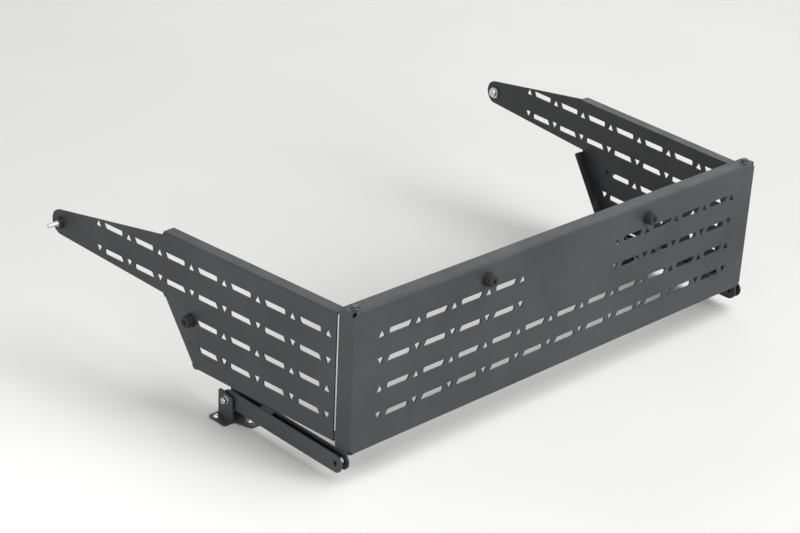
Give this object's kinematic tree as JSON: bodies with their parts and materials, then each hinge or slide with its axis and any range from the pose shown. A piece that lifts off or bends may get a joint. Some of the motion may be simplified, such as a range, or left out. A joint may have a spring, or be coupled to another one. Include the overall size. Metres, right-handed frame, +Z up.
{
  "type": "tailgate extender",
  "caption": "Flip-over tailgate extender of perforated folded steel: a rear panel and two tapered side panels that pivot on the bed walls and rest on arms bolted to the tailgate.",
  "frame": {"origin": "bottom centre of the whole part, level with the tailgate under the bracket feet", "axes": "+X to the right seen from behind, +Y forward towards the cab, +Z up from the lowered tailgate"},
  "size_m": [1.3056, 0.851, 0.3568],
  "materials": {
    "black_powder_coat": "fine-textured satin powder coat",
    "zinc_plate": "bright zinc plate",
    "black_oxide": "black oxide on steel",
    "black_rubber": "matt moulded rubber",
    "black_nylon": "matt nylon"
  },
  "bodies": {
    "vehicle_side": {"pivot_bolt_left": "zinc_plate", "pivot_bolt_right": "zinc_plate", "pivot_washers": "zinc_plate", "pivot_wall_spacers": "black_nylon", "support_arm_left": "black_powder_coat", "support_arm_right": "black_powder_coat", "arm_bridge_plates": "black_powder_coat", "tailgate_bracket_left": "black_powder_coat", "tailgate_bracket_right": "black_powder_coat", "arm_pivot_bolts": "zinc_plate", "arm_pivot_washers": "zinc_plate", "arm_pivot_nuts": "zinc_plate", "arm_thrust_washers": "black_nylon"},
    "basket": {"rear_panel": "black_powder_coat", "side_panel_left": "black_powder_coat", "side_panel_right": "black_powder_coat", "corner_bolts": "black_oxide", "corner_spacers": "black_nylon", "corner_nuts": "black_oxide", "bump_stops_rear": "black_rubber", "bump_stops_side": "black_rubber", "bump_stop_screws": "black_oxide", "bump_stop_nuts": "black_oxide", "pivot_bushes": "zinc_plate"}
  },
  "joints": [
    {"name": "basket_flip", "type": "hinge", "parent": "vehicle_side", "child": "basket", "pos_m": [0, 0.3985, 0.2503], "axis": [-1, 0, 0], "range_deg": [0, 180]}
  ]
}
